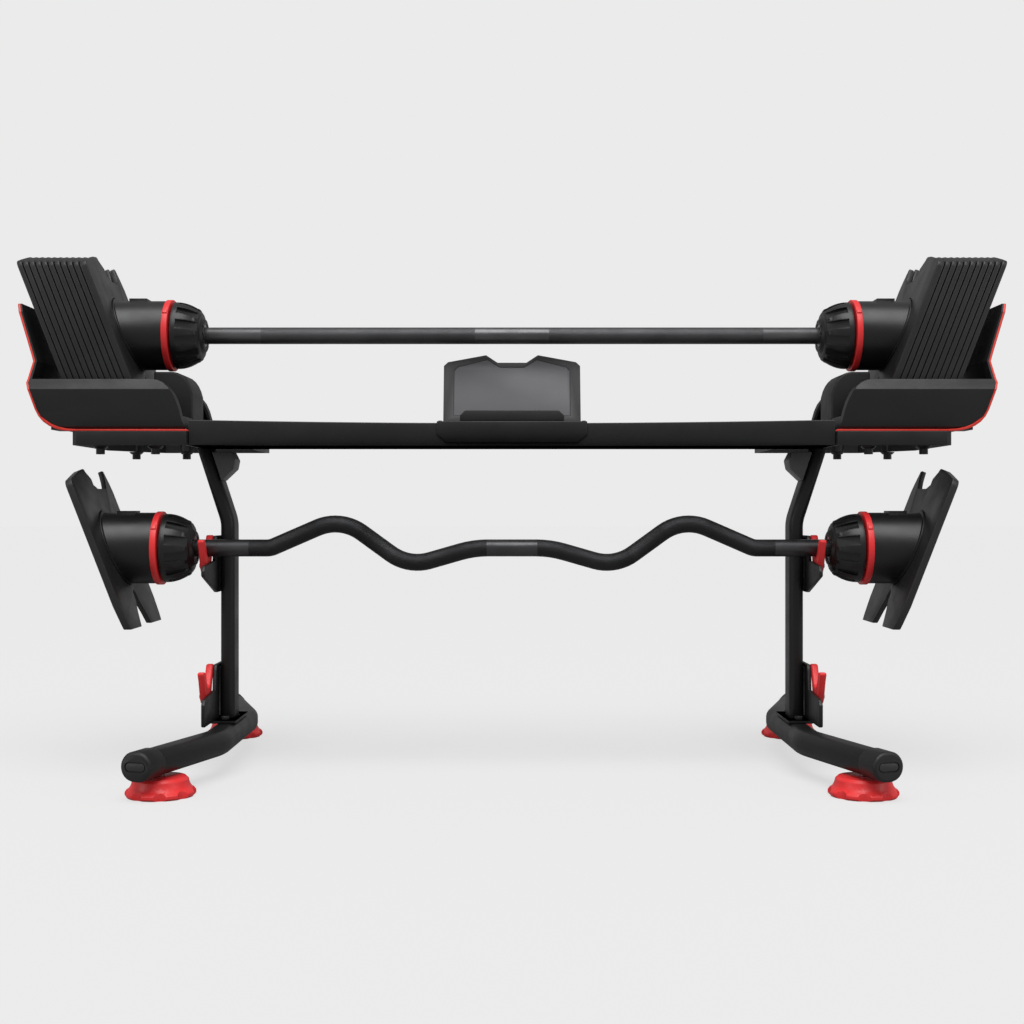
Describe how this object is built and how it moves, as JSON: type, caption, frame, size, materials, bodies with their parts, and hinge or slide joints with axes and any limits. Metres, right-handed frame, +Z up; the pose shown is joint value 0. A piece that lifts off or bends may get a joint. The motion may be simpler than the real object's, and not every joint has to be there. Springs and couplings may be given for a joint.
{
  "type": "adjustable barbell set",
  "caption": "Adjustable barbell and cambered curl bar on a two-post floor stand, with leaning selector plates in two open trays, turning dials, bar hooks, levelling feet and a media rack.",
  "frame": {"origin": "on the floor under the middle of the stand", "axes": "+X to the right along the bars, +Y away from the user, +Z up"},
  "size_m": [1.6438, 0.7246, 0.8644],
  "materials": {
    "frame_paint": "satin black powder coat",
    "grey_paint": "satin grey powder coat",
    "red_paint": "satin red coating",
    "red_plastic": "satin red moulding",
    "cap_plastic": "fine-grained black moulding",
    "tray_plastic": "fine-grained black moulding",
    "hub_plastic": "satin black moulding",
    "plate_coating": "black moulded coating over steel",
    "bar_steel": "dark plated steel, knurled in the grips",
    "selector_steel": "zinc-plated steel",
    "bolt_steel": "dark plated bolts",
    "black_steel": "blackened steel",
    "rack_paint": "satin black powder coat",
    "rack_panel_plastic": "satin dark grey moulding",
    "rack_inset_plastic": "satin blue-grey film"
  },
  "bodies": {
    "stand": {"left_foot_tube": "frame_paint", "right_foot_tube": "frame_paint", "foot_end_caps": "cap_plastic", "left_post": "frame_paint", "right_post": "frame_paint", "top_gussets": "grey_paint", "upper_side_plates": "frame_paint", "lower_side_plates": "frame_paint", "upper_hooks": "red_paint", "lower_hooks": "red_paint", "crossbeam": "frame_paint", "left_platform": "frame_paint", "right_platform": "frame_paint", "platform_bolts": "black_steel", "frame_bolts": "bolt_steel", "left_tray": "tray_plastic", "right_tray": "tray_plastic", "left_tray_trim": "red_plastic", "right_tray_trim": "red_plastic", "tray_cradles": "tray_plastic", "rack_bracket": "rack_paint", "rack_panel": "rack_panel_plastic", "rack_inset": "rack_inset_plastic", "rack_lip": "tray_plastic", "plate_pair_06": "plate_coating", "plate_pair_07": "plate_coating", "plate_pair_08": "plate_coating", "plate_pair_09": "plate_coating", "plate_pair_10": "plate_coating"},
    "levelling_foot_front_left": {"levelling_foot_front_left": "red_plastic"},
    "levelling_foot_front_right": {"levelling_foot_front_right": "red_plastic"},
    "levelling_foot_rear_left": {"levelling_foot_rear_left": "red_plastic"},
    "levelling_foot_rear_right": {"levelling_foot_rear_right": "red_plastic"},
    "straight_bar": {"straight_shaft": "bar_steel", "straight_left_hub": "hub_plastic", "straight_right_hub": "hub_plastic", "straight_left_ring": "red_plastic", "straight_right_ring": "red_plastic", "straight_left_end_plate": "plate_coating", "straight_right_end_plate": "plate_coating", "plate_pair_01": "plate_coating", "plate_pair_02": "plate_coating", "plate_pair_03": "plate_coating", "plate_pair_04": "plate_coating", "plate_pair_05": "plate_coating"},
    "straight_dial_left": {"straight_left_dial": "hub_plastic", "straight_left_selector": "selector_steel"},
    "straight_dial_right": {"straight_right_dial": "hub_plastic", "straight_right_selector": "selector_steel"},
    "curl_bar": {"curl_shaft": "bar_steel", "curl_left_hub": "hub_plastic", "curl_right_hub": "hub_plastic", "curl_left_ring": "red_plastic", "curl_right_ring": "red_plastic", "curl_left_end_plate": "plate_coating", "curl_right_end_plate": "plate_coating"},
    "curl_dial_left": {"curl_left_dial": "hub_plastic", "curl_left_selector": "selector_steel"},
    "curl_dial_right": {"curl_right_dial": "hub_plastic", "curl_right_selector": "selector_steel"}
  },
  "joints": [
    {"name": "levelling_foot_front_left_turn", "type": "hinge", "parent": "stand", "child": "levelling_foot_front_left", "pos_m": [-0.53324, -0.2877, 0], "axis": [0, 0, 1], "continuous": true},
    {"name": "levelling_foot_front_right_turn", "type": "hinge", "parent": "stand", "child": "levelling_foot_front_right", "pos_m": [0.53324, -0.2877, 0], "axis": [0, 0, 1], "continuous": true},
    {"name": "levelling_foot_rear_left_turn", "type": "hinge", "parent": "stand", "child": "levelling_foot_rear_left", "pos_m": [-0.53324, 0.2877, 0], "axis": [0, 0, 1], "continuous": true},
    {"name": "levelling_foot_rear_right_turn", "type": "hinge", "parent": "stand", "child": "levelling_foot_rear_right", "pos_m": [0.53324, 0.2877, 0], "axis": [0, 0, 1], "continuous": true},
    {"name": "straight_bar_lift", "type": "slide", "parent": "stand", "child": "straight_bar", "axis": [0, 0, 1], "range_m": [0, 0.3]},
    {"name": "curl_bar_lift", "type": "slide", "parent": "stand", "child": "curl_bar", "axis": [0, 0, 1], "range_m": [0, 0.03]},
    {"name": "straight_dial_left_turn", "type": "hinge", "parent": "straight_bar", "child": "straight_dial_left", "pos_m": [-0.55, 0, 0.733], "axis": [1, 0, 0], "range_deg": [-135, 135]},
    {"name": "straight_dial_right_turn", "type": "hinge", "parent": "straight_bar", "child": "straight_dial_right", "pos_m": [0.55, 0, 0.733], "axis": [1, 0, 0], "range_deg": [-135, 135]},
    {"name": "curl_dial_left_turn", "type": "hinge", "parent": "curl_bar", "child": "curl_dial_left", "pos_m": [-0.55, -0.075, 0.37], "axis": [1, 0, 0], "range_deg": [-135, 135]},
    {"name": "curl_dial_right_turn", "type": "hinge", "parent": "curl_bar", "child": "curl_dial_right", "pos_m": [0.55, -0.075, 0.37], "axis": [1, 0, 0], "range_deg": [-135, 135]}
  ]
}
